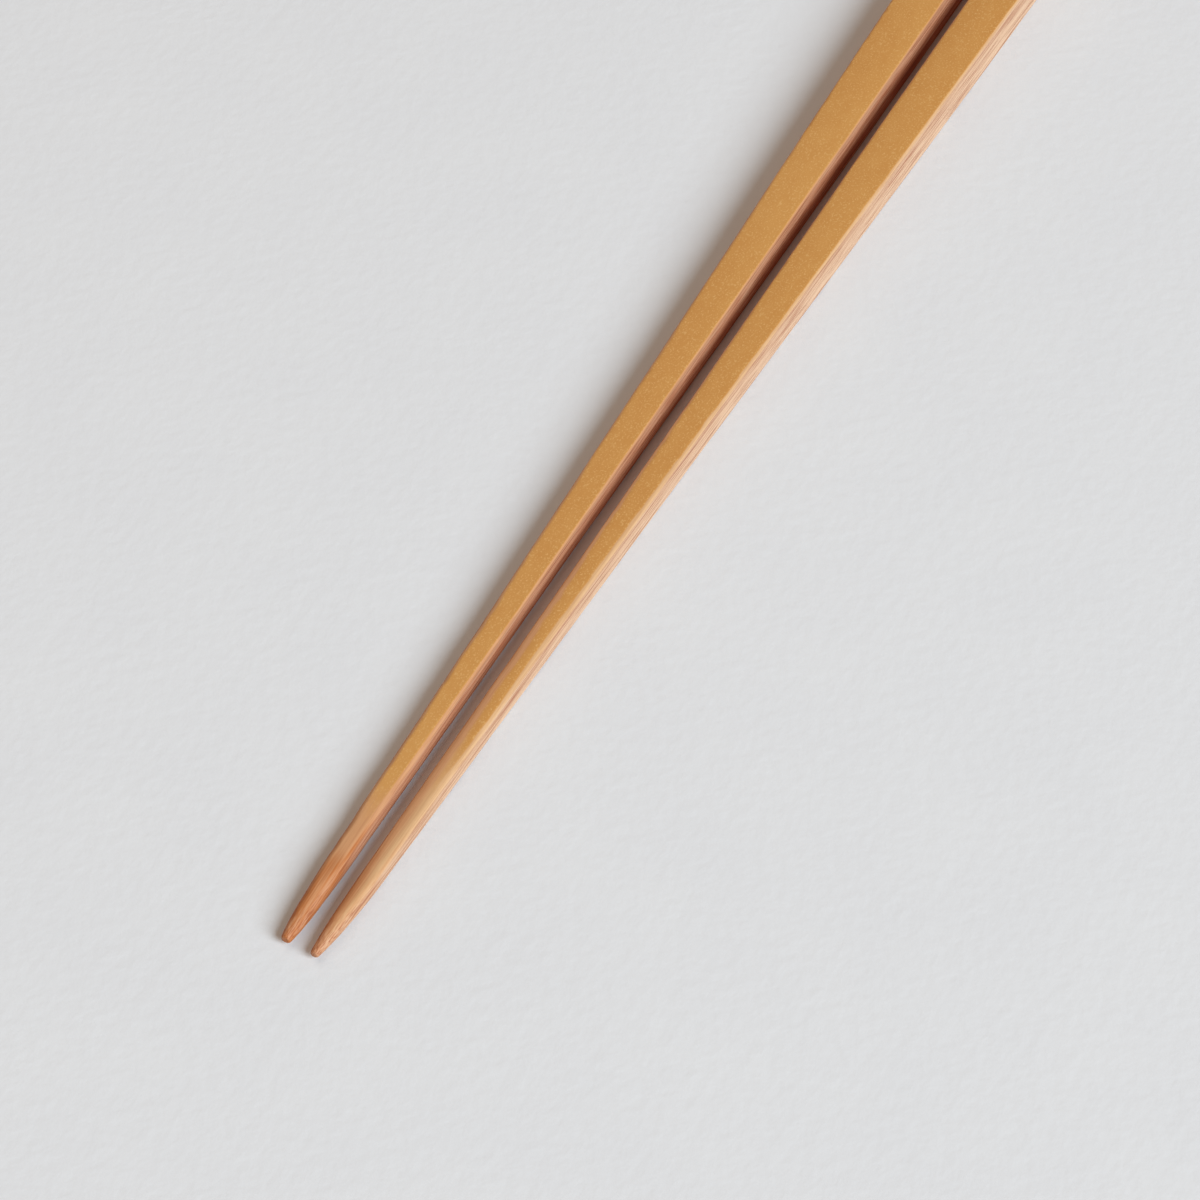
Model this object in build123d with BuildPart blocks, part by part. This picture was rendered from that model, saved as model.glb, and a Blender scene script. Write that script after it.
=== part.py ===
from build123d import *
from dataclasses import dataclass
from math import atan2, degrees, radians, tan
import os

# A pair of square bamboo chopsticks, lying side by side with their skin side up.
# X runs from the left stick to the right one, Y from the tips to the heads and Z upwards.
# The origin is at the middle of the pair, on the surface that it lies on. Sizes are in millimetres.

# Both sticks
length = 230.0  # from tip to head
waist_reach = 88.0  # from the tip to the waist, where the taper quickens
head_run = 40.0  # from the shoulder, where the taper slackens, to the head
waste = 2.0  # stretch of the square strip that turning the tip takes off
arris_radius = 0.2  # eased edges of the square stick
tip_diameter = 1.5  # turned tip, before its end is rounded
tip_rounding = 0.35  # radius round the end of the tip
point_length = 12.0  # stretch that is turned round and steep
easing_half_angle = 1.0  # slope on which the corners are eased above the point, in degrees

# The pair
tip_gap = 2.2  # between the two inner faces, where the strips start
shoulder_gap = 3.0  # the same, at the shoulders
stagger = 0.35  # how much further the right tip reaches than the left


@dataclass
class Blank:
    """The square tapered strip that one stick is cut from, and the thickness of its turned point."""

    name: str
    side: int  # -1 for the left stick, 1 for the right
    tip_width: float
    waist_width: float
    shoulder_width: float
    head_width: float
    tip_thickness: float
    waist_thickness: float
    shoulder_thickness: float
    head_thickness: float
    point_diameter: float  # where the steep point ends


left = Blank("chopstick_left", -1, 2.40, 4.20, 7.00, 7.70, 2.55, 4.20, 6.15, 6.50, 3.20)
right = Blank("chopstick_right", 1, 2.15, 3.85, 6.50, 7.20, 2.40, 4.05, 5.80, 6.15, 3.10)

# Places along the strip, from its narrow end
waist = waste + waist_reach
strip_length = waste + length
shoulder = strip_length - head_run

pair_centre = (right.head_width - left.head_width) / 2  # middle of the pair, from that of the gap

os.makedirs("parts", exist_ok=True)

for blank in (left, right):
    # The strip starts at its narrow end. It leans outwards, so that the gap to the other stick
    # grows as stated, and it lies flat, so its centreline rises towards the head.
    spread = shoulder_gap + blank.shoulder_width - tip_gap - blank.tip_width
    lean = degrees(atan2(spread, 2 * shoulder))
    rise = degrees(atan2(blank.waist_thickness - blank.tip_thickness, 2 * waist))
    start_x = blank.side * (tip_gap + blank.tip_width) / 2 - pair_centre
    start_y = -(length + blank.side * stagger) / 2 - waste
    lying = Plane((start_x, start_y, 0)).rotated((0, 0, -blank.side * lean))
    standing = Plane(lying.origin, x_dir=lying.y_dir, z_dir=lying.x_dir).offset(-blank.head_width)
    centreline = lying.offset(blank.tip_thickness / 2).rotated((rise, 0, 0))

    with BuildPart() as stick:
        # The outline from above: slow taper to the waist, quicker to the shoulder, slack to the head.
        with BuildSketch(lying):
            with BuildLine():
                flank = Spline(
                    (blank.tip_width / 2, 0),
                    (blank.waist_width / 2, waist),
                    (blank.shoulder_width / 2, shoulder),
                    (blank.head_width / 2, strip_length),
                )
                Line(flank @ 1, (0, strip_length))
                mirror(about=Plane.YZ)
                Line(flank @ 0, (-blank.tip_width / 2, 0))
            make_face()
        extrude(amount=blank.head_thickness)

        # The outline from the side: a flat underside, and a skin side that rises to the head.
        with BuildSketch(standing):
            with BuildLine():
                skin = Spline(
                    (0, blank.tip_thickness),
                    (waist, blank.waist_thickness),
                    (shoulder, blank.shoulder_thickness),
                    (strip_length, blank.head_thickness),
                )
                Polyline(skin @ 1, (strip_length, 0), (0, 0), skin @ 0)
            make_face()
        extrude(amount=2 * blank.head_width, mode=Mode.INTERSECT)

        # All edges are eased, apart from those of the narrow end, which is turned away.
        narrow_end = stick.faces().sort_by(Axis(lying.origin, lying.y_dir))[0]
        fillet(stick.edges() - narrow_end.edges(), radius=arris_radius)

        # The turned point: a steep cone about the centreline, then a gentle one that eases the
        # corners and runs out where it clears them.
        with BuildSketch(centreline):
            point_end = waste + point_length
            cone_end = waste + strip_length
            easing = (cone_end - point_end) * tan(radians(easing_half_angle))
            with BuildLine():
                Polyline(
                    (0, waste),
                    (tip_diameter / 2, waste),
                    (blank.point_diameter / 2, point_end),
                    (blank.point_diameter / 2 + easing, cone_end),
                    (0, cone_end),
                    close=True,
                )
            profile = make_face()
            end_corner = profile.vertices().group_by(Axis.Y)[0].sort_by(Axis.X)[-1]
            fillet(end_corner, radius=tip_rounding)
        revolve(axis=Axis(centreline.origin, centreline.y_dir), mode=Mode.INTERSECT)

    stick.part.label = blank.name
    export_step(stick.part, f"parts/{blank.name}.step")
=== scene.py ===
"""Two square bamboo chopsticks with turned points, lying side by side on a sheet of white card."""
import logging
import math
from dataclasses import dataclass, field
from enum import Enum
from typing import Any

import bpy
import numpy as np
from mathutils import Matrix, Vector


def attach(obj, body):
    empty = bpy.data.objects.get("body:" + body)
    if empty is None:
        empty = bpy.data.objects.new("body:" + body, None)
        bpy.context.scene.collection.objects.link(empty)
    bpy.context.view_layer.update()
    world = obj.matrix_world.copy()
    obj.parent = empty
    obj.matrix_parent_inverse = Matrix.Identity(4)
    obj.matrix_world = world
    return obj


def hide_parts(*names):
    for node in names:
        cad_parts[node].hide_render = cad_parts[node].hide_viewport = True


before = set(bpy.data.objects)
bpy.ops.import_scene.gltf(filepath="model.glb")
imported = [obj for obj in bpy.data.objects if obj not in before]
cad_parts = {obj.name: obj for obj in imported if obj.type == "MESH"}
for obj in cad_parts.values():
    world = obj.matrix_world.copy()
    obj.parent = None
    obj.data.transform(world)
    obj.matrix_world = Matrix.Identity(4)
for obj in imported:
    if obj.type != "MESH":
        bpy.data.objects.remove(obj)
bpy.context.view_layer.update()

MM = 0.001
log = logging.getLogger("chopsticks")


# ---------------------------------------------------------------- small helpers


def linear(hex_code: str) -> tuple[float, float, float, float]:
    """Turns an sRGB hex colour into linear RGBA.

    Args:
        hex_code: six hex digits.

    Returns:
        Red, green, blue and alpha, each from 0 to 1.
    """
    shares = [int(hex_code[i:i + 2], 16) / 255 for i in (0, 2, 4)]
    red, green, blue = (s / 12.92 if s <= 0.04045 else ((s + 0.055) / 1.055) ** 2.4 for s in shares)
    return red, green, blue, 1.0


def add(tree: bpy.types.NodeTree, kind: str, links: dict | None = None, **settings: Any) -> bpy.types.Node:
    """Adds one node.

    Args:
        tree: the node tree that the node goes into.
        kind: the node's type name, without its ShaderNode prefix.
        links: input name or number to a value, or to the socket that feeds it.
        settings: properties of the node itself.

    Returns:
        The new node.
    """
    node = tree.nodes.new("ShaderNode" + kind)
    for name, value in settings.items():
        setattr(node, name, value)
    for key, value in (links or {}).items():
        if isinstance(value, bpy.types.NodeSocket):
            tree.links.new(value, node.inputs[key])
        else:
            node.inputs[key].default_value = value
    return node


def new_material(name: str) -> tuple[bpy.types.Material, bpy.types.NodeTree]:
    """Makes an empty material.

    Args:
        name: what the material is and how it was finished.

    Returns:
        The material and its node tree.
    """
    material = bpy.data.materials.new(name)
    material.use_nodes = True
    material.node_tree.nodes.clear()
    return material, material.node_tree


def blend(tree: bpy.types.NodeTree, share: Any, first: Any, second: Any) -> bpy.types.NodeSocket:
    """Goes from the first colour to the second as share goes from 0 to 1."""
    return add(tree, "Mix", {0: share, 6: first, 7: second}, data_type="RGBA").outputs[2]


def smooth_step(low: float, high: float, value: np.ndarray) -> np.ndarray:
    """Rises smoothly from 0 at low to 1 at high."""
    share = np.clip((value - low) / (high - low), 0.0, 1.0)
    return share * share * (3 - 2 * share)


def soft_min(a: np.ndarray, b: np.ndarray, rounding: float) -> np.ndarray:
    """The smaller of a and b, with the corner rounded where they differ by less than rounding."""
    near = np.clip(1 - np.abs(a - b) / rounding, 0.0, 1.0)
    return np.minimum(a, b) - near * near * rounding / 4


def curve_through(places: tuple[float, ...], values: tuple[float, ...], at: np.ndarray) -> np.ndarray:
    """A smooth curve through a few points, by cubic pieces that share their slopes.

    Args:
        places: where the values are given, in rising order.
        values: the value at each place.
        at: where the curve is wanted.

    Returns:
        The curve's value at each point of at.
    """
    x = np.asarray(places, float)
    y = np.asarray(values, float)
    slope = np.gradient(y, x)
    i = np.clip(np.searchsorted(x, at) - 1, 0, len(x) - 2)
    run = x[i + 1] - x[i]
    s = (at - x[i]) / run
    rise = y[i + 1] - y[i]
    return (
        y[i]
        + run * slope[i] * s * (1 - s) ** 2
        + rise * s * s * (3 - 2 * s)
        - run * slope[i + 1] * s * s * (1 - s)
    )


class Waves:
    """Smooth random hills on a plane, between -1 and 1, the same on each run."""

    LATTICE = 256

    def __init__(self, seed: int) -> None:
        """Draws the lattice of heights from one seed."""
        draw = np.random.default_rng(seed)
        self.heights = draw.uniform(-1, 1, (self.LATTICE, self.LATTICE))

    def at(self, u: np.ndarray, v: np.ndarray) -> np.ndarray:
        """Reads the hills.

        Args:
            u: first coordinate, where 1 is the width of one hill.
            v: second coordinate, likewise.

        Returns:
            The heights, from -1 to 1.
        """
        u, v = np.broadcast_arrays(u, v)
        iu, iv = np.floor(u).astype(int), np.floor(v).astype(int)
        fu, fv = u - iu, v - iv
        fu, fv = fu * fu * (3 - 2 * fu), fv * fv * (3 - 2 * fv)
        n = self.LATTICE
        corner = [[self.heights[(iu + a) % n, (iv + b) % n] for b in (0, 1)] for a in (0, 1)]
        low = corner[0][0] * (1 - fv) + corner[0][1] * fv
        high = corner[1][0] * (1 - fv) + corner[1][1] * fv
        return low * (1 - fu) + high * fu


@dataclass(frozen=True)
class Ripple:
    """One layer of unevenness, whose hills are sized in millimetres."""

    height: float
    length: float  # of one hill, along the stick
    width: float  # of one hill, across it
    shift: float  # moves the layer across, in hills

    def at(self, seed: int, along: np.ndarray, across: np.ndarray | float) -> np.ndarray:
        """Reads the layer, with its hills drawn from the seed."""
        return self.height * Waves(seed).at(along / self.length, across / self.width + self.shift)


# ---------------------------------------------------------------- finishes


@dataclass(frozen=True)
class PolishedBamboo:
    """Bamboo as a chopstick shows it: satin skin on one side, and planed flesh where it is cut."""

    name: str = "Carbonised bamboo, polished skin over planed flesh"
    # The skin is the culm's own rind, steamed to an even amber. It clouds softly.
    skin: str = "C68F4D"
    skin_dark: str = "BC8140"
    skin_fleck: str = "D6A869"
    # Just under the rind the wood is dense, pale and yellowish, and shows where edges are eased.
    rind_wood: str = "CCA070"
    # Further in it is pinker, in pale and red-brown lines where the fibres run lengthwise.
    flesh: str = "B68360"
    flesh_pale: str = "D2AC8A"
    fibre_line: str = "934D2A"
    # Furthest in it has few fibres and is pale. Where painted_shade is set it is painted red-brown instead,
    # as painted shade on the sides that face the gap between the sticks or turn away from the key.
    core: str = "DAB898"
    # The red-brown below is painted shade for the low parts of the shaded sides.
    painted_shade_red: str = "B8592A"
    core_mm: float = 3.8
    # Where the point cuts across the fibres, the wood is darker and more orange.
    cut_across: str = "B26A35"
    rind_mm: float = 0.03
    dense_mm: float = 0.75
    fibre_mm: float = 0.13  # width of one fibre line
    fibre_length_mm: float = 30.0
    cloud_mm: float = 1.6  # width of one cloud in the skin
    fleck_mm: float = 0.22  # spacing of the pale flecks in the skin, as coarse as shows
    tooth_mm: float = 0.012  # depth of the fibre lines
    tooth_strength: float = 0.7
    skin_tooth: float = 0.25  # share of that depth that polishing leaves in the skin
    # The rind is worn through where an edge is eased, along a slightly ragged line.
    worn: tuple[float, float] = (0.4, 2.2)  # from whole rind to none, in rinds deep
    ragged: float = 1.6  # how far the fibres shift that line, in rinds
    # What the noise reads where each mark starts and where it is full, and how much it then shows.
    pale_lines: tuple[float, float] = (0.48, 0.38)
    pale_share: float = 0.9
    dark_lines: tuple[float, float] = (0.5, 0.6)
    dark_share: float = 0.75
    flecks: tuple[float, float] = (0.5, 0.74)
    fleck_share: float = 0.75
    cut_bands: tuple[float, float] = (0.34, 0.62)
    cut_least: float = 0.25  # how much of the cut's colour shows between its bands
    cloud_contrast: float = 0.9
    # How the wood changes from the rind inwards.
    dense_from_mm: float = 0.1
    dense_share: float = 0.8
    dense_lines: float = 0.2  # share of the dark lines that shows in the dense wood
    core_from_mm: float = 0.5
    core_share: float = 0.75
    shade_tint_share: float = 0.3  # how far the painted shade tints all the wood of a shaded side
    # Planed wood is close to matt, and polished skin has a satin gloss.
    rough_wood: float = 0.62
    rough_skin: float = 0.45
    ior: float = 1.5
    specular: float = 0.35

    def build(self) -> bpy.types.Material:
        """Makes the material.

        Returns:
            A material that reads the mesh's own grain, depth, cut and toast, and the painted shade of each
            side.
        """
        material, tree = new_material(self.name)
        grain = add(tree, "Attribute", attribute_name="grain").outputs["Vector"]
        depth = add(tree, "Attribute", attribute_name="depth").outputs["Fac"]
        cut = add(tree, "Attribute", attribute_name="cut").outputs["Fac"]
        toast = add(tree, "Attribute", attribute_name="toast").outputs["Fac"]
        # How much painted shade each side gets.
        painted_shade = add(tree, "Attribute", attribute_name="painted_shade").outputs["Fac"]
        fibres = self.lines(tree, grain, self.fibre_mm, self.fibre_length_mm)
        bands = self.lines(tree, grain, 4 * self.fibre_mm, 4 * self.fibre_length_mm)
        wood = self.wood(tree, depth, cut, painted_shade, fibres, bands)
        skin = self.skin_colour(tree, grain, toast)

        ragged = add(tree, "Math", {0: fibres, 1: self.ragged * self.rind_mm,
                                    2: -self.ragged / 2 * self.rind_mm}, operation="MULTIPLY_ADD")
        worn = add(tree, "Math", {0: depth, 1: ragged.outputs[0]}, operation="ADD").outputs[0]
        whole, gone = (share * self.rind_mm for share in self.worn)
        rind = self.ramp(tree, worn, whole, gone, 1.0, 0.0)
        colour = blend(tree, rind, wood, skin)
        rough = self.ramp(tree, rind, 0.0, 1.0, self.rough_wood, self.rough_skin)
        planed = self.ramp(tree, rind, 0.0, 1.0, 1.0, self.skin_tooth)
        height = add(tree, "Math", {0: fibres, 1: planed}, operation="MULTIPLY").outputs[0]
        bump = add(tree, "Bump", {"Height": height, "Strength": self.tooth_strength,
                                  "Distance": self.tooth_mm * MM})
        shader = add(tree, "BsdfPrincipled", {"Base Color": colour, "Roughness": rough, "IOR": self.ior,
                                              "Specular IOR Level": self.specular,
                                              "Normal": bump.outputs["Normal"]})
        add(tree, "OutputMaterial", {"Surface": shader.outputs[0]})
        return material

    def wood(self, tree: bpy.types.NodeTree, depth: bpy.types.NodeSocket, cut: bpy.types.NodeSocket,
             painted_shade: bpy.types.NodeSocket, fibres: bpy.types.NodeSocket,
             bands: bpy.types.NodeSocket) -> bpy.types.NodeSocket:
        """Colours the wood under the skin.

        Args:
            tree: the material's nodes.
            depth: millimetres below the skin.
            cut: 1 where the point cuts across the fibres, 0 where they lie along the surface.
            painted_shade: 1 where the low wood is painted red-brown as shade, 0 where it is left pale.
            fibres: fine lengthwise lines, 0 to 1.
            bands: the same, four times as broad.

        Returns:
            The colour.
        """
        flesh = blend(tree, bands, linear(self.flesh), linear(self.flesh_pale))
        # Painted shade: the low wood of the shaded sides is painted red-brown, and the lit side's is left
        # pale.
        core = blend(tree, painted_shade, linear(self.core), linear(self.painted_shade_red))
        deep = self.ramp(tree, depth, self.core_from_mm, self.core_mm, 0.0, self.core_share)
        flesh = blend(tree, deep, flesh, core)
        pale_line = self.ramp(tree, fibres, *self.pale_lines, 0.0, self.pale_share)
        flesh = blend(tree, pale_line, flesh, linear(self.flesh_pale))
        dense = self.ramp(tree, depth, self.dense_from_mm, self.dense_mm, self.dense_share, 0.0)
        wood = blend(tree, dense, flesh, linear(self.rind_wood))
        # Painted shade: part of the red-brown is laid over the whole of each shaded side.
        shade_tint = add(tree, "Math", {0: painted_shade, 1: self.shade_tint_share}, operation="MULTIPLY").outputs[0]
        wood = blend(tree, shade_tint, wood, linear(self.painted_shade_red))
        across = self.ramp(tree, bands, *self.cut_bands, self.cut_least, 1.0)
        across = add(tree, "Math", {0: across, 1: cut}, operation="MULTIPLY").outputs[0]
        wood = blend(tree, across, wood, linear(self.cut_across))
        dark_line = self.ramp(tree, fibres, *self.dark_lines, 0.0, self.dark_share)
        deeper = self.ramp(tree, depth, self.dense_from_mm, self.dense_mm, self.dense_lines, 1.0)
        dark_line = add(tree, "Math", {0: dark_line, 1: deeper}, operation="MULTIPLY").outputs[0]
        return blend(tree, dark_line, wood, linear(self.fibre_line))

    def skin_colour(self, tree: bpy.types.NodeTree, grain: bpy.types.NodeSocket,
                    toast: bpy.types.NodeSocket) -> bpy.types.NodeSocket:
        """Colours the skin: soft clouds, then pale flecks.

        Args:
            tree: the material's nodes.
            grain: place on the stick, in millimetres.
            toast: how dark the steaming left this stretch, 0 to 1.

        Returns:
            The colour.
        """
        clouds = self.lines(tree, grain, self.cloud_mm, 2 * self.cloud_mm)
        shade = add(tree, "Math", {0: clouds, 1: self.cloud_contrast, 2: -self.cloud_contrast / 2},
                    operation="MULTIPLY_ADD").outputs[0]
        shade = add(tree, "Math", {0: shade, 1: toast}, operation="ADD", use_clamp=True).outputs[0]
        skin = blend(tree, shade, linear(self.skin), linear(self.skin_dark))
        flecks = self.lines(tree, grain, self.fleck_mm, 1.5 * self.fleck_mm)
        pale = self.ramp(tree, flecks, *self.flecks, 0.0, self.fleck_share)
        return blend(tree, pale, skin, linear(self.skin_fleck))

    def lines(self, tree: bpy.types.NodeTree, grain: bpy.types.NodeSocket, width: float,
              length: float) -> bpy.types.NodeSocket:
        """Smooth noise drawn out along the stick.

        Args:
            tree: the material's nodes.
            grain: place on the stick, in millimetres.
            width: size of one patch across the grain, in millimetres.
            length: its size along the grain.

        Returns:
            The noise, 0 to 1 and mostly near the middle.
        """
        place = add(tree, "VectorMath", {0: grain, 1: (1 / width, 1 / length, 1 / width)},
                    operation="MULTIPLY")
        noise = add(tree, "TexNoise", {"Vector": place.outputs[0], "Scale": 1.0, "Detail": 2.0})
        return noise.outputs["Fac"]

    def ramp(self, tree: bpy.types.NodeTree, value: bpy.types.NodeSocket, low: float, high: float,
             start: float, stop: float) -> bpy.types.NodeSocket:
        """Goes smoothly from one number to another as a value passes between two limits.

        Args:
            tree: the material's nodes.
            value: what is read.
            low: value at which the result is start. It may be the larger limit.
            high: value at which the result is stop.
            start: the first result.
            stop: the last result.

        Returns:
            The result.
        """
        low_first = low < high
        settings = {"Value": value, "From Min": min(low, high), "From Max": max(low, high),
                    "To Min": start if low_first else stop, "To Max": stop if low_first else start}
        return add(tree, "MapRange", settings, interpolation_type="SMOOTHSTEP").outputs["Result"]


@dataclass(frozen=True)
class EndGrain:
    """Bamboo sawn square across: pale wood with the dark dots of its fibre bundles."""

    name: str = "Bamboo end grain, sawn"
    wood: str = "D8AC80"
    dots: str = "8E5D3C"
    bundle_mm: float = 0.42  # from one bundle to the next
    scatter: float = 0.7
    dot_edge: tuple[float, float] = (0.2, 0.38)  # where a dot starts to fade and where it ends, in bundles
    dot_share: float = 0.8
    tooth_mm: float = 0.03
    tooth_strength: float = 0.4
    roughness: float = 0.75

    def build(self) -> bpy.types.Material:
        """Makes the material.

        Returns:
            A material that reads the mesh's own grain.
        """
        material, tree = new_material(self.name)
        grain = add(tree, "Attribute", attribute_name="grain").outputs["Vector"]
        bundle = 1 / self.bundle_mm
        place = add(tree, "VectorMath", {0: grain, 1: (bundle, 0.0, bundle)}, operation="MULTIPLY")
        cells = add(tree, "TexVoronoi", {"Vector": place.outputs[0], "Scale": 1.0,
                                         "Randomness": self.scatter})
        bundles = cells.outputs["Distance"]
        dot = add(tree, "MapRange", {"Value": bundles, "From Min": self.dot_edge[0],
                                     "From Max": self.dot_edge[1], "To Min": self.dot_share,
                                     "To Max": 0.0}).outputs["Result"]
        colour = blend(tree, dot, linear(self.wood), linear(self.dots))
        bump = add(tree, "Bump", {"Height": bundles, "Strength": self.tooth_strength,
                                  "Distance": self.tooth_mm * MM})
        shader = add(tree, "BsdfPrincipled", {"Base Color": colour, "Roughness": self.roughness,
                                              "Normal": bump.outputs["Normal"]})
        add(tree, "OutputMaterial", {"Surface": shader.outputs[0]})
        return material


@dataclass(frozen=True)
class WhiteCard:
    """Matte white card with a faint tooth."""

    name: str = "White card, matte"
    white: str = "DCDCDC"
    grey: str = "D8D8D9"
    cloud_mm: float = 50 / 3
    tooth_spacing_mm: float = 2.0
    detail: float = 3.0
    tooth_mm: float = 0.3
    tooth_strength: float = 0.25
    roughness: float = 0.9
    specular: float = 0.2

    def build(self) -> bpy.types.Material:
        """Makes the material.

        Returns:
            The material.
        """
        material, tree = new_material(self.name)
        place = add(tree, "TexCoord").outputs["Object"]
        clouds, tooth = (
            add(tree, "TexNoise", {"Vector": place, "Scale": 1 / (spacing * MM), "Detail": self.detail})
            for spacing in (self.cloud_mm, self.tooth_spacing_mm)
        )
        colour = blend(tree, clouds.outputs["Fac"], linear(self.grey), linear(self.white))
        bump = add(tree, "Bump", {"Height": tooth.outputs["Fac"], "Strength": self.tooth_strength,
                                  "Distance": self.tooth_mm * MM})
        shader = add(tree, "BsdfPrincipled", {"Base Color": colour, "Roughness": self.roughness,
                                              "Specular IOR Level": self.specular,
                                              "Normal": bump.outputs["Normal"]})
        add(tree, "OutputMaterial", {"Surface": shader.outputs[0]})
        return material


# ---------------------------------------------------------------- the sticks


class Corner(Enum):
    """The four long edges of a stick, as the tip's end sees them, anticlockwise from the right."""

    SKIN_RIGHT = (1, 1)
    SKIN_LEFT = (-1, 1)
    UNDER_LEFT = (-1, -1)
    UNDER_RIGHT = (1, -1)


@dataclass
class Stick:
    """One chopstick. Its sizes are in millimetres, and lengthwise places are measured from the tip."""

    name: str
    node: str
    widths: tuple[float, ...]
    thicknesses: tuple[float, ...]
    point_radii: tuple[float, ...]
    eased: dict[Corner, tuple[float, ...]]  # width of each long edge's easing at each of eased_at
    easing_drop: dict[Corner, tuple[float, ...]]  # how far that easing reaches down the side
    seed: int
    toast: float
    painted_shade: tuple[float, float]  # painted shade: how red the wood is painted on the left and on the right
    tip_sweep: float = 0.0  # how far the very tip is swept to the right
    places: tuple[float, ...] = (0.0, 88.0, 190.0, 230.0)
    point_at: tuple[float, ...] = (0.0, 1.2, 4.1, 8.3, 12.4, 20.0, 27.0, 37.0, 60.0, 90.0, 230.0)
    eased_at: tuple[float, ...] = (0.0, 30.0, 58.0, 88.0, 120.0, 230.0)
    tip_rounding: float = 0.32
    head_rounding: float = 0.2
    point_run: float = 26.0  # stretch where the rings stand closest
    turning_blend: float = 0.3  # how softly the turned point runs into the strip's flats
    flats_start: tuple[float, float] = (11.5, 15.5)  # where turning stops cutting across the flats
    corners_start: tuple[float, float] = (15.0, 23.0)  # the same, at the corners
    corner_depth: float = 0.12  # how far under the strip's faces a cut at a corner shows in full
    easing_blend: float = 0.2  # how softly a turned corner runs into an eased one
    most_eased: float = 0.94  # share of a face that the easings on its two edges may take
    least_radius: float = 0.02
    # The easings waver in width, slowly and quickly, and each edge does so in its own way.
    slow_waver: Ripple = Ripple(0.16, length=6.0, width=1.0, shift=0.0)
    quick_waver: Ripple = Ripple(0.1, length=1.5, width=3.0, shift=50.0)
    edge_spacing: float = 3.0
    bare: tuple[float, float] = (13.0, 34.0)  # stretch where sanding thinned the skin
    bare_depth: float = 0.075
    slant: float = 1.0  # how much of the point cuts across the fibres
    culm_radius: float = 45.0  # the curve of the culm that the skin side keeps
    swept_run: float = 16.0
    # Planing leaves broad and fine marks in the wood. The skin is smoother, and both sides swell.
    broad_marks: Ripple = Ripple(0.014, length=22.0, width=0.8, shift=40.0)
    fine_marks: Ripple = Ripple(0.009, length=9.0, width=0.4, shift=40.0)
    skin_marks: Ripple = Ripple(0.003, length=1.1, width=0.7, shift=60.0)
    swell: Ripple = Ripple(0.02, length=19.0, width=4.0, shift=9.0)
    planed_depth: tuple[float, float] = (0.03, 0.2)  # where skin gives way to planed wood
    marks_start: tuple[float, float] = (1.0, 8.0)
    nick_count: int = 60
    nick_length: tuple[float, float] = (0.25, 0.6)
    nick_depth: tuple[float, float] = (0.01, 0.045)
    toast_patches: Ripple = Ripple(0.35, length=30.0, width=5.0, shift=20.0)
    toast_start: tuple[float, float] = (10.0, 45.0)
    painted_shade_change: tuple[float, float] = (-0.5, 0.5)  # where the left side's painted shade turns into the right's
    end_reach: float = 0.5  # how near an end a CAD point counts as part of it
    corner_points: int = 9
    flat_points: int = 26
    point_rings: int = 110
    shaft_rings: int = 560
    rim_rings: int = 8
    cap_shares: tuple[float, ...] = (0.75, 0.5, 0.25)  # sizes of the loops that close an end
    centre_tip: Vector = field(init=False)
    centre_head: Vector = field(init=False)

    def __post_init__(self) -> None:
        """Reads where the stick's two ends are from its CAD node."""
        points = np.array([v.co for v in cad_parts[self.node].data.vertices])
        ends = []
        for end in (points[:, 1].min(), points[:, 1].max()):
            near = points[np.abs(points[:, 1] - end) < self.end_reach * MM]
            middle = (near.min(axis=0) + near.max(axis=0)) / 2
            ends.append(Vector((middle[0], end, 0.0)))
        self.centre_tip, self.centre_head = ends

    @property
    def length(self) -> float:
        """The stick's length in millimetres."""
        return (self.centre_head - self.centre_tip).length / MM

    def stations(self) -> tuple[np.ndarray, np.ndarray]:
        """Where the rings stand.

        Returns:
            Each ring's distance from the tip, and how far it is drawn in to round an end.
        """
        turn = np.linspace(0, math.pi / 2, self.rim_rings)
        bulge = 1 - np.sin(turn)
        reach = 1 - np.cos(turn)
        point = np.linspace(self.tip_rounding, self.point_run, self.point_rings)[1:]
        shaft = np.linspace(self.point_run, self.length - self.head_rounding, self.shaft_rings)[1:-1]
        places = [self.tip_rounding * reach, point, shaft, self.length - self.head_rounding * reach[::-1]]
        flat = np.zeros(len(point) + len(shaft))
        drawn_in = [self.tip_rounding * bulge, flat, self.head_rounding * bulge[::-1]]
        return np.concatenate(places), np.concatenate(drawn_in)

    def corner_radii(self, t: np.ndarray, width: np.ndarray, height: np.ndarray,
                     turned: np.ndarray) -> dict[Corner, list[np.ndarray]]:
        """Works out how far each long edge would be eased if it had its faces to itself.

        Args:
            t: each ring's distance from the tip.
            width: each ring's width.
            height: each ring's height.
            turned: radius to which turning cuts each ring's corners back.

        Returns:
            For each edge, the easing's width and its drop at every ring.
        """
        cut_back = (np.hypot(width, height) / 2 - turned) / (math.sqrt(2) - 1)
        cut_back = np.clip(cut_back, 0.0, self.most_eased * np.minimum(width, height) / 2)
        radii = {}
        for number, corner in enumerate(Corner):
            edge = self.edge_spacing * number
            uneven = 1 + self.slow_waver.at(self.seed, t, edge) + self.quick_waver.at(self.seed, t, edge)
            radii[corner] = []
            for sizes in (self.eased, self.easing_drop):
                eased = curve_through(self.eased_at, sizes[corner], t) * uneven
                radii[corner].append(-soft_min(-eased, -cut_back, self.easing_blend))
        return radii

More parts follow.
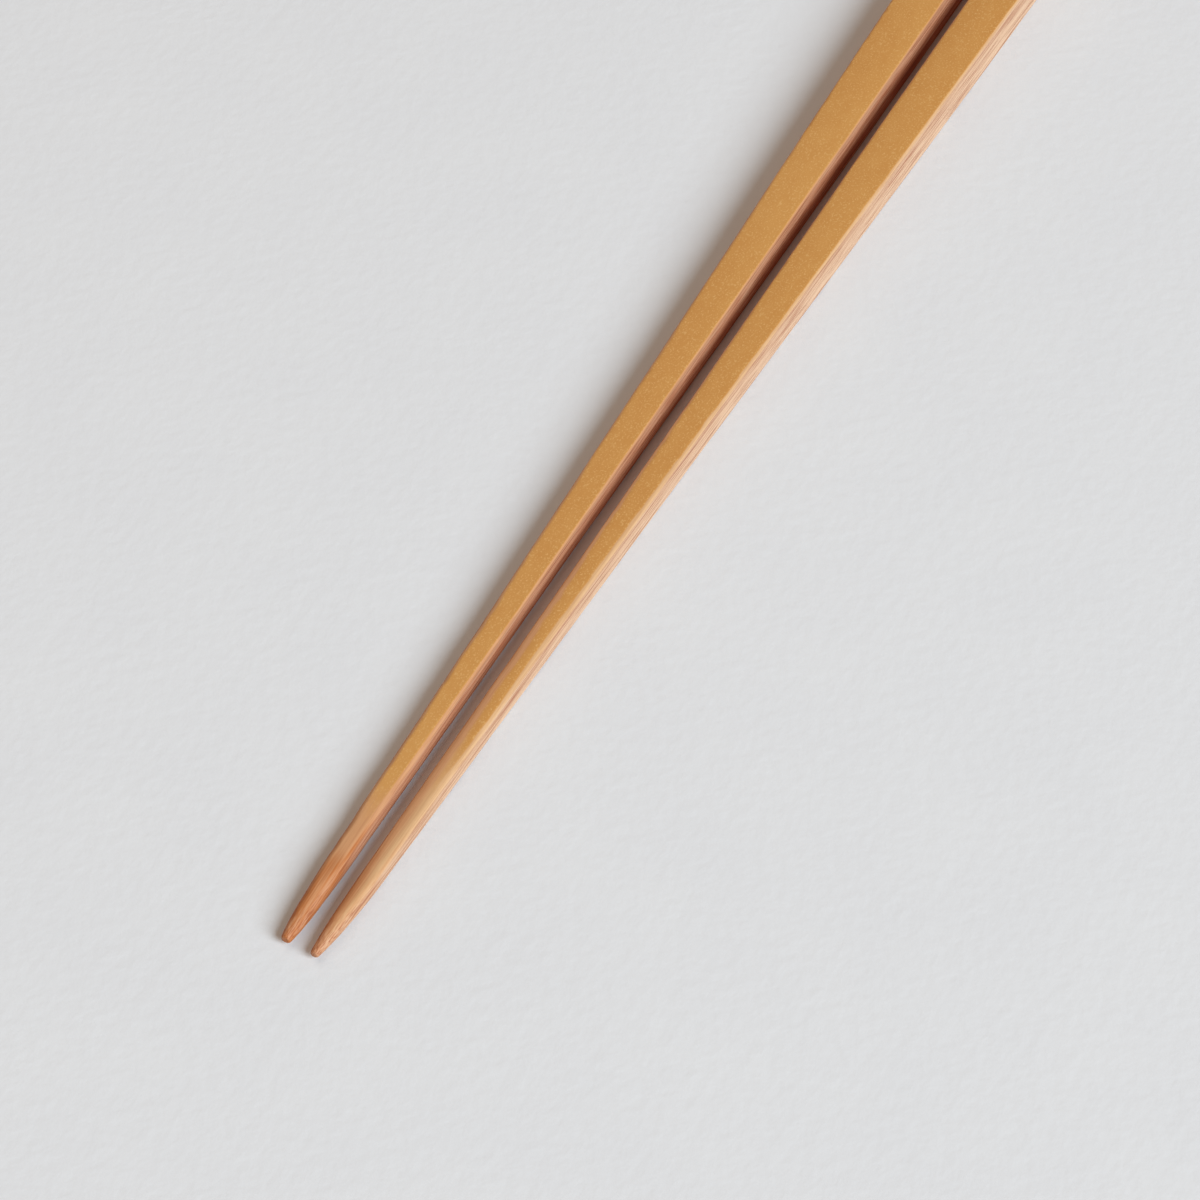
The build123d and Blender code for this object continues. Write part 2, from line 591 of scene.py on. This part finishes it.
    def outline(self, t: np.ndarray, drawn_in: np.ndarray, width: np.ndarray, height: np.ndarray,
                turned: np.ndarray) -> tuple[np.ndarray, np.ndarray, np.ndarray]:
        """Draws each ring as a rectangle with its own quarter ellipse at each corner.

        Args:
            t: each ring's distance from the tip.
            drawn_in: how far each ring is drawn in.
            width: each ring's width.
            height: each ring's height.
            turned: radius to which turning cuts each ring's corners back.

        Returns:
            Across and up for every point of every ring, and the outward directions.
        """
        radii = self.corner_radii(t, width, height, turned)
        arcs = []
        for number, corner in enumerate(Corner):
            side, level = corner.value
            shared_faces = ((Corner((-side, level)), width), (Corner((side, -level)), height))
            own = []
            for axis, (neighbour, room) in enumerate(shared_faces):
                wanted = radii[corner][axis]
                fits = np.minimum(1.0, self.most_eased * room / (wanted + radii[neighbour][axis]))
                own.append(np.maximum(wanted * fits - drawn_in, self.least_radius)[:, None])
            angle = (number + np.linspace(0, 1, self.corner_points))[None, :] * math.pi / 2
            arc_x = side * ((width / 2 - drawn_in)[:, None] - own[0]) + own[0] * np.cos(angle)
            arc_z = level * ((height / 2 - drawn_in)[:, None] - own[1]) + own[1] * np.sin(angle)
            outward = np.stack([np.cos(angle), np.sin(angle)], -1)
            arcs.append((arc_x, arc_z, np.broadcast_to(outward, (*arc_x.shape, 2))))
        share = np.linspace(0, 1, self.flat_points + 2)[1:-1]
        across, up, out = [], [], []
        for (x, z, way), (next_x, next_z, _) in zip(arcs, arcs[1:] + arcs[:1]):
            across += [x, x[:, -1:] + (next_x[:, :1] - x[:, -1:]) * share]
            up += [z, z[:, -1:] + (next_z[:, :1] - z[:, -1:]) * share]
            out += [way, np.repeat(way[:, -1:], self.flat_points, 1)]
        return np.concatenate(across, 1), np.concatenate(up, 1), np.concatenate(out, 1)

    def relief(self, across: np.ndarray, along: np.ndarray, up: np.ndarray, out: np.ndarray,
               depth: np.ndarray) -> np.ndarray:
        """How far the surface stands in or out from a plain one.

        Args:
            across: place across the stick.
            along: place along it.
            up: height above its underside.
            out: outward direction.
            depth: depth below the skin.

        Returns:
            The relief, which never lets the underside stand out.
        """
        side = np.where(np.abs(out[..., 0]) > np.abs(out[..., 1]), up, across)
        planed = smooth_step(*self.planed_depth, depth)
        layers = (self.broad_marks, self.fine_marks, self.skin_marks, self.swell)
        broad, fine, skin, swell = (layer.at(self.seed + number, along, side)
                                    for number, layer in enumerate(layers, 1))
        relief = (broad + fine) * planed + skin * (1 - planed) + swell
        relief = relief * smooth_step(*self.marks_start, along)
        return relief - np.maximum(relief, 0) * np.clip(-out[..., 1], 0, 1) - self.nicks(along, out)

    def nicks(self, along: np.ndarray, out: np.ndarray) -> np.ndarray:
        """Small crosswise nicks where the plane chattered along the skin's left edge.

        Args:
            along: place along the stick.
            out: outward direction.

        Returns:
            How deep the nicks are.
        """
        draw = np.random.default_rng(self.seed + 5)
        depth = np.zeros_like(along)
        edge = np.clip(-out[..., 0] * out[..., 1] * 2, 0, 1) * (out[..., 1] > 0)
        for place in draw.uniform(self.point_run, self.length, self.nick_count):
            size = draw.uniform(*self.nick_length)
            depth += draw.uniform(*self.nick_depth) * np.exp(-((along - place) / size) ** 2)
        return depth * edge

    def rings(self) -> tuple[np.ndarray, np.ndarray, np.ndarray]:
        """Works out every ring of the stick.

        Returns:
            Points in the stick's own frame (across, along, up), how deep each lies below the
            skin of the uncut strip, and how much the surface there cuts across the fibres.
        """
        t, drawn_in = self.stations()
        blank_width = curve_through(self.places, self.widths, t)
        blank_height = curve_through(self.places, self.thicknesses, t)
        turned = curve_through(self.point_at, self.point_radii, t)
        width = soft_min(blank_width, 2 * turned, self.turning_blend)
        height = soft_min(blank_height, 2 * turned, self.turning_blend)
        across, up, out = self.outline(t, drawn_in, width, height, turned)
        along = np.repeat(t[:, None], across.shape[1], 1)
        full_width, full_height = blank_width[:, None], blank_height[:, None]
        fall = across**2 / (2 * self.culm_radius)
        inside = np.minimum(full_width / 2 - np.abs(across), full_height / 2 - np.abs(up))
        up = up + full_height / 2
        up = up - fall * np.clip(up / full_height, 0, 1)
        thinned = self.bare_depth * (1 - smooth_step(*self.bare, along))
        depth = np.maximum(full_height - fall - up, 0) + thinned
        corners = (1 - smooth_step(*self.corners_start, along)) * smooth_step(0.0, self.corner_depth, inside)
        cut = self.slant * np.maximum(1 - smooth_step(*self.flats_start, along), corners)
        relief = self.relief(across, along, up, out, depth)
        sweep = self.tip_sweep * (1 - np.clip(along / self.swept_run, 0, 1)) ** 2
        points = [across + relief * out[..., 0] + sweep, along, up + relief * out[..., 1]]
        return np.stack(points, -1), depth, cut

    def build(self, bamboo: bpy.types.Material, end_grain: bpy.types.Material) -> bpy.types.Object:
        """Makes the stick's mesh and dresses it.

        Args:
            bamboo: material of the long faces and the point.
            end_grain: material of the sawn head.

        Returns:
            The finished object, riding on the root body.
        """
        rings, depth, cut = self.rings()
        count, around = depth.shape
        here = np.arange(around)
        there = (here + 1) % around
        first = np.arange(count - 1)[:, None] * around
        quads = np.stack([first + here, first + there, first + around + there, first + around + here], -1)
        faces = quads.reshape(-1, 4).tolist()
        points, deep, across_grain = rings.reshape(-1, 3), depth.ravel(), cut.ravel()
        for ring, step in ((0, -1), (count - 1, 1)):
            sawn_from = len(faces)
            middle = rings[ring].mean(axis=0)
            outer = ring * around + here
            for share in self.cap_shares:
                inner = len(points) + here
                points = np.concatenate([points, middle + (rings[ring] - middle) * share])
                deep = np.concatenate([deep, depth[ring] * share + depth[ring].mean() * (1 - share)])
                band = np.stack([outer, outer[there], inner[there], inner], -1)
                faces += [loop[::step] for loop in band.tolist()]
                outer = inner
            fan = np.stack([outer, outer[there], np.full(around, len(points))], -1)
            faces += [loop[::step] for loop in fan.tolist()]
            points = np.concatenate([points, middle[None]])
            deep = np.concatenate([deep, depth[ring].mean(keepdims=True)])
        across_grain = np.concatenate([across_grain, np.full(len(points) - len(across_grain), self.slant)])

        mesh = bpy.data.meshes.new(self.name)
        mesh.from_pydata(self.placed(points).tolist(), [], faces)
        mesh.attributes.new("grain", "FLOAT_VECTOR", "POINT").data.foreach_set("vector", points.ravel())
        toasted = self.toast + self.toast_patches.at(self.seed + 6, points[:, 1], points[:, 0])
        toasted = toasted * smooth_step(*self.toast_start, points[:, 1])
        # Painted shade, set per side: red-brown where a side faces the gap or turns from the key.
        to_right = smooth_step(*self.painted_shade_change, points[:, 0])
        painted_shading = self.painted_shade[0] + (self.painted_shade[1] - self.painted_shade[0]) * to_right
        read_by_bamboo = {"depth": deep, "cut": across_grain, "toast": toasted, "painted_shade": painted_shading}
        for name, values in read_by_bamboo.items():
            mesh.attributes.new(name, "FLOAT", "POINT").data.foreach_set("value", values)
        for material in (bamboo, end_grain):
            mesh.materials.append(material)
        mesh.polygons.foreach_set("material_index", (np.arange(len(faces)) >= sawn_from).astype(int))
        mesh.polygons.foreach_set("use_smooth", np.ones(len(faces), bool))
        mesh.update()
        piece = bpy.data.objects.new(self.name, mesh)
        bpy.context.scene.collection.objects.link(piece)
        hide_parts(self.node)
        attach(piece, "root")
        log.info("%s: %d faces", self.name, len(faces))
        return piece

    def placed(self, points: np.ndarray) -> np.ndarray:
        """Puts points where the CAD node lies.

        Args:
            points: places in the stick's own frame, in millimetres.

        Returns:
            The same places in the part's frame, in metres.
        """
        along = (self.centre_head - self.centre_tip).normalized()
        axes = np.array([(along.y, -along.x, 0.0), tuple(along), (0.0, 0.0, 1.0)])
        return np.array(self.centre_tip) + points @ axes * MM


# ---------------------------------------------------------------- the studio


@dataclass(frozen=True)
class Lamp:
    """A large round soft lamp, far enough off to light the whole card alike."""

    name: str
    azimuth: float  # degrees from the tips' side of the pair, round towards its right
    elevation: float  # degrees above the card
    spread: float  # how wide the lamp looks from the card, in degrees
    share: float  # of the light on the card, where 1 shows a colour as it is written
    tint: tuple[float, float, float]
    distance: float = 5.0

    def build(self) -> None:
        """Hangs the lamp, aimed at the pair."""
        rise = math.radians(self.elevation)
        turn = math.radians(self.azimuth)
        way = Vector((math.sin(turn) * math.cos(rise), -math.cos(turn) * math.cos(rise), math.sin(rise)))
        data = bpy.data.lights.new(self.name, "AREA")
        data.shape = "DISK"
        data.color = self.tint
        data.size = 2 * self.distance * math.tan(math.radians(self.spread / 2))
        data.energy = self.share * (math.pi * self.distance) ** 2 / math.sin(rise)
        light = bpy.data.objects.new(self.name, data)
        light.location = way * self.distance
        light.rotation_euler = way.to_track_quat("Z", "Y").to_euler()
        bpy.context.scene.collection.objects.link(light)


@dataclass
class Studio:
    """The card, the lamps, the room's light and the camera. Sizes are in metres unless they say."""

    pair_tip: Vector
    azimuth: float = math.radians(27.32)
    elevation: float = math.radians(48.0)
    distance: float = 0.565
    lens: float = 127.5  # in millimetres, as the sensor's width is
    sensor_width: float = 36.0
    nearest: float = 0.01  # where the camera starts to see
    aim: tuple[float, float] = (0.0058, 0.06935)
    card_size: float = 12.0
    # The key stands for a window and the rest for what a room gives back, which is warmer.
    # Together they are white on the card.
    key: Lamp = Lamp("key", azimuth=72.0, elevation=34.0, spread=36.0, share=0.847,
                     tint=(0.809, 0.915, 1.0))
    reflector: Lamp = Lamp("reflector", azimuth=-98.0, elevation=58.0, spread=60.0, share=0.25,
                           tint=(1.0, 0.8, 0.64))
    room_share: float = 0.2
    room_tint: tuple[float, float, float] = (1.0, 0.8, 0.64)

    def build(self) -> None:
        """Sets up everything that isn't the object."""
        self.build_card()
        self.build_lights()
        self.build_camera()

    def build_card(self) -> None:
        """Lays the card that the sticks lie on."""
        half = self.card_size / 2
        mesh = bpy.data.meshes.new("card")
        mesh.from_pydata([(-half, -half, 0), (half, -half, 0), (half, half, 0), (-half, half, 0)], [],
                         [(0, 1, 2, 3)])
        mesh.materials.append(WhiteCard().build())
        card = bpy.data.objects.new("card", mesh)
        bpy.context.scene.collection.objects.link(card)

    def build_lights(self) -> None:
        """Hangs the lamps, and lights the rest evenly from the room."""
        for lamp in (self.key, self.reflector):
            lamp.build()
        world = bpy.data.worlds.new("room")
        world.use_nodes = True
        tree = world.node_tree
        tree.nodes.clear()
        back = add(tree, "Background", {"Color": (*self.room_tint, 1.0), "Strength": self.room_share})
        add(tree, "OutputWorld", {"Surface": back.outputs[0]})
        bpy.context.scene.world = world

    def build_camera(self) -> None:
        """Stands the camera where it sees the points whole and lets the heads run out of view."""
        data = bpy.data.cameras.new("camera")
        data.lens = self.lens
        data.sensor_width = self.sensor_width
        data.clip_start = self.nearest
        camera = bpy.data.objects.new("camera", data)
        bpy.context.scene.collection.objects.link(camera)
        target = self.pair_tip + Vector((*self.aim, 0.0))
        flat = math.cos(self.elevation)
        back = Vector((math.sin(self.azimuth) * flat, -math.cos(self.azimuth) * flat,
                       math.sin(self.elevation)))
        camera.location = target + back * self.distance
        camera.rotation_euler = back.to_track_quat("Z", "Y").to_euler()
        bpy.context.scene.camera = camera


def main() -> None:
    """Builds the pair and its studio, and reports each piece."""
    logging.basicConfig(level=logging.INFO)
    bamboo = PolishedBamboo().build()
    end_grain = EndGrain().build()
    under = {Corner.UNDER_LEFT: (0.40, 0.40, 0.35, 0.30, 0.25, 0.22),
             Corner.UNDER_RIGHT: (0.40, 0.40, 0.35, 0.30, 0.25, 0.22)}
    left = Stick(
        "bamboo_stick_left", "chopstick_left", (2.40, 4.20, 7.00, 7.70), (2.55, 4.20, 6.15, 6.50),
        point_radii=(0.66, 0.83, 1.12, 1.38, 1.60, 1.74, 1.84, 2.00, 2.50, 3.30, 9.0),
        eased=under | {
            Corner.SKIN_RIGHT: (0.42, 0.42, 0.36, 0.30, 0.26, 0.24),
            Corner.SKIN_LEFT: (0.80, 0.90, 0.80, 0.68, 0.55, 0.48),
        },
        easing_drop=under | {
            Corner.SKIN_RIGHT: (0.42, 0.40, 0.34, 0.28, 0.24, 0.22),
            Corner.SKIN_LEFT: (0.80, 0.80, 0.45, 0.28, 0.24, 0.22),
        },
        # The left stick's right side faces the gap and its left side turns from the key, so both get painted
        # shade.
        seed=11, toast=0.25, painted_shade=(0.7, 0.95),
    )
    right = Stick(
        "bamboo_stick_right", "chopstick_right", (2.15, 3.85, 6.50, 7.20), (2.40, 4.05, 5.80, 6.15),
        point_radii=(0.56, 0.72, 1.02, 1.35, 1.55, 1.72, 1.82, 1.98, 2.45, 3.20, 9.0),
        eased=under | {
            Corner.SKIN_RIGHT: (0.70, 0.95, 0.98, 0.85, 0.60, 0.34),
            Corner.SKIN_LEFT: (1.50, 2.00, 1.90, 0.95, 0.60, 0.50),
        },
        easing_drop=under | {
            Corner.SKIN_RIGHT: (0.35, 0.35, 0.35, 0.32, 0.28, 0.22),
            Corner.SKIN_LEFT: (0.40, 0.36, 0.34, 0.28, 0.24, 0.22),
        },
        # The right stick's left side faces the gap and gets painted shade, and its lit right side gets none.
        seed=23, toast=0.6, painted_shade=(1.0, 0.0), tip_sweep=-0.3, bare=(18.0, 46.0), slant=0.5,
    )
    for stick in (left, right):
        stick.build(bamboo, end_grain)
    Studio(pair_tip=(left.centre_tip + right.centre_tip) / 2).build()
    bpy.context.scene.view_settings.view_transform = "Standard"


if __name__ == "__main__":
    main()
